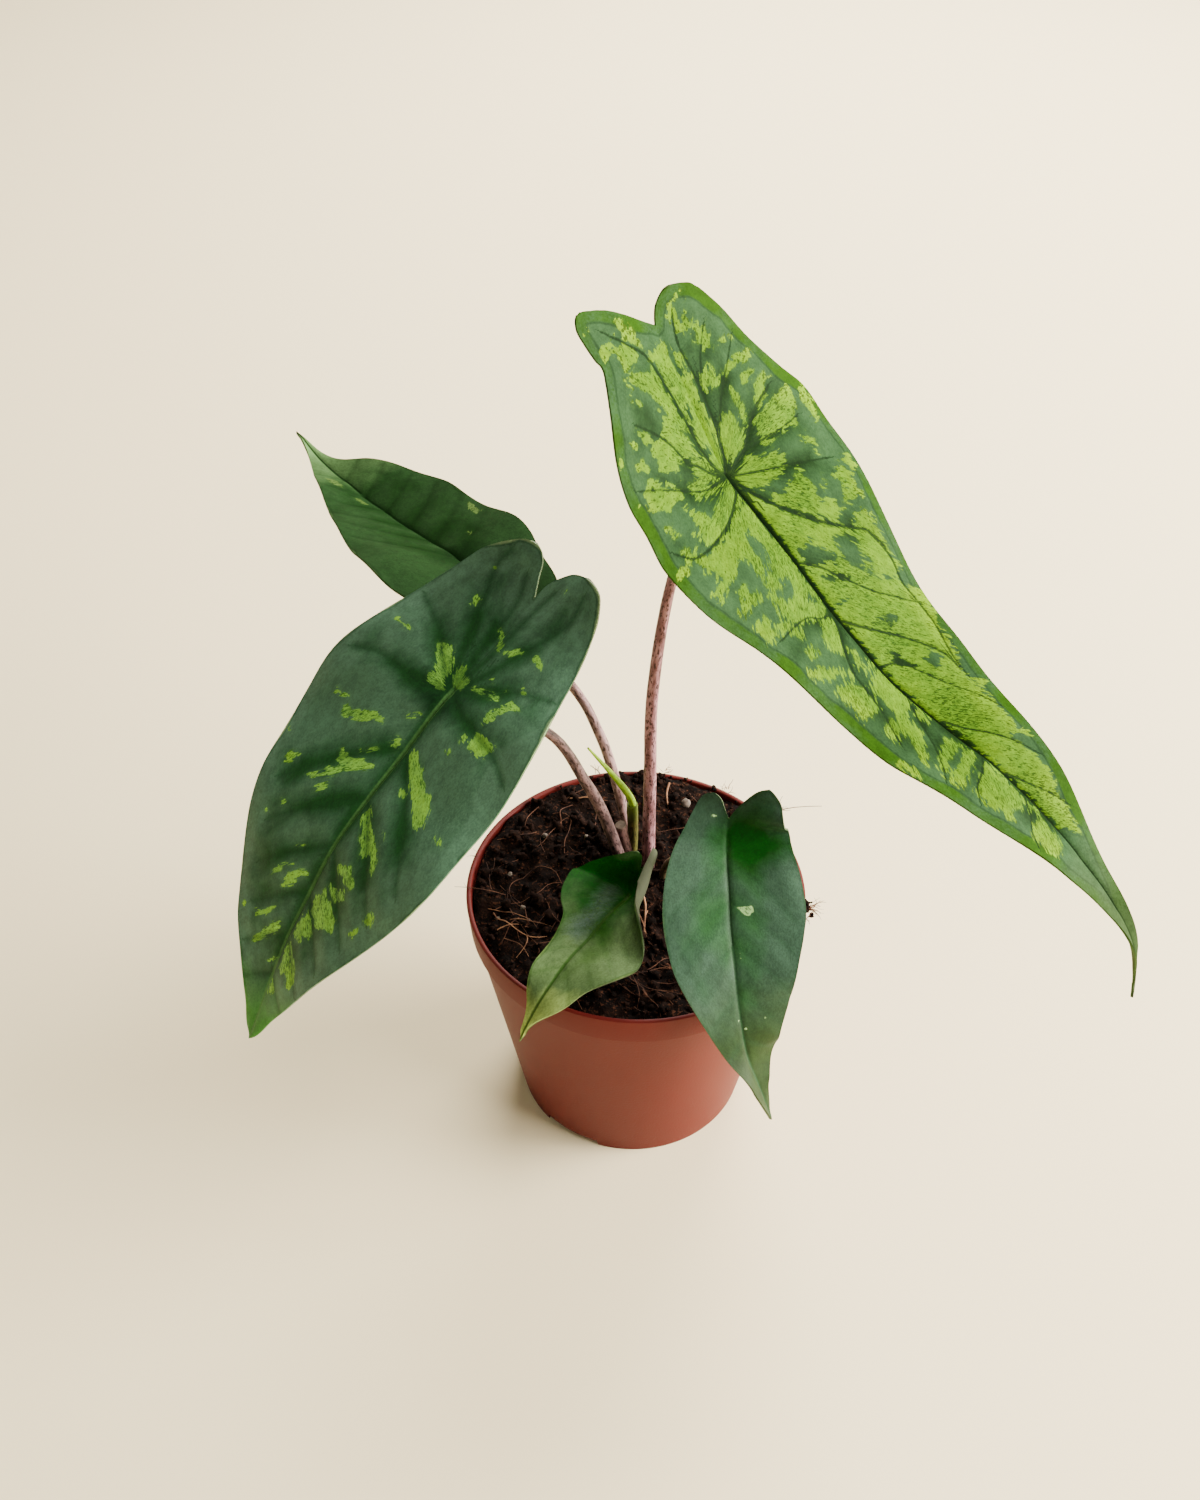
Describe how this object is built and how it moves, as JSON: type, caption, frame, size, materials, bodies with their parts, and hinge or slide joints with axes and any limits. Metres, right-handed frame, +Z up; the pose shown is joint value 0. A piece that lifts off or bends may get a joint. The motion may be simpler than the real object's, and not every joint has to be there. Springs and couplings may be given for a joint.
{
  "type": "potted aroid plant",
  "caption": "Young potted aroid with long arrow-shaped leaves, some splashed with light green, on thin stems in a tapered terracotta-coloured nursery pot of peat.",
  "frame": {"origin": "centre of the pot's flat underside pad, on the surface it stands on", "axes": "+Z up along the pot's axis; -Y towards the front, the side the picture is taken from; +X to the right seen from the front"},
  "size_m": [0.2895, 0.2688, 0.3271],
  "materials": {
    "terracotta_plastic": "thin moulded plastic, fine satin grain",
    "peat": "damp fibrous peat mix with perlite",
    "stem_skin": "matte pinkish brown skin with dark flecks",
    "sheath_skin": "dry olive brown papery sheath",
    "bud_skin": "smooth fresh green skin",
    "splashed_blade": "satin leaf skin, light green splashes on dark green",
    "dark_blade": "satin dark green leaf skin with a few light splashes",
    "young_blade": "soft new leaf skin, dark green fading to pale green"
  },
  "bodies": {
    "root": {"pot": "terracotta_plastic", "soil": "peat", "petiole_tall_right": "stem_skin", "blade_tall_right": "splashed_blade", "petiole_front_left": "stem_skin", "blade_front_left": "dark_blade", "petiole_back_left": "stem_skin", "blade_back_left": "dark_blade", "petiole_small_right": "stem_skin", "blade_small_right": "dark_blade", "petiole_youngest": "stem_skin", "blade_youngest": "young_blade", "rolled_leaf": "bud_skin", "sheath": "sheath_skin", "cut_stub": "stem_skin"}
  },
  "joints": []
}
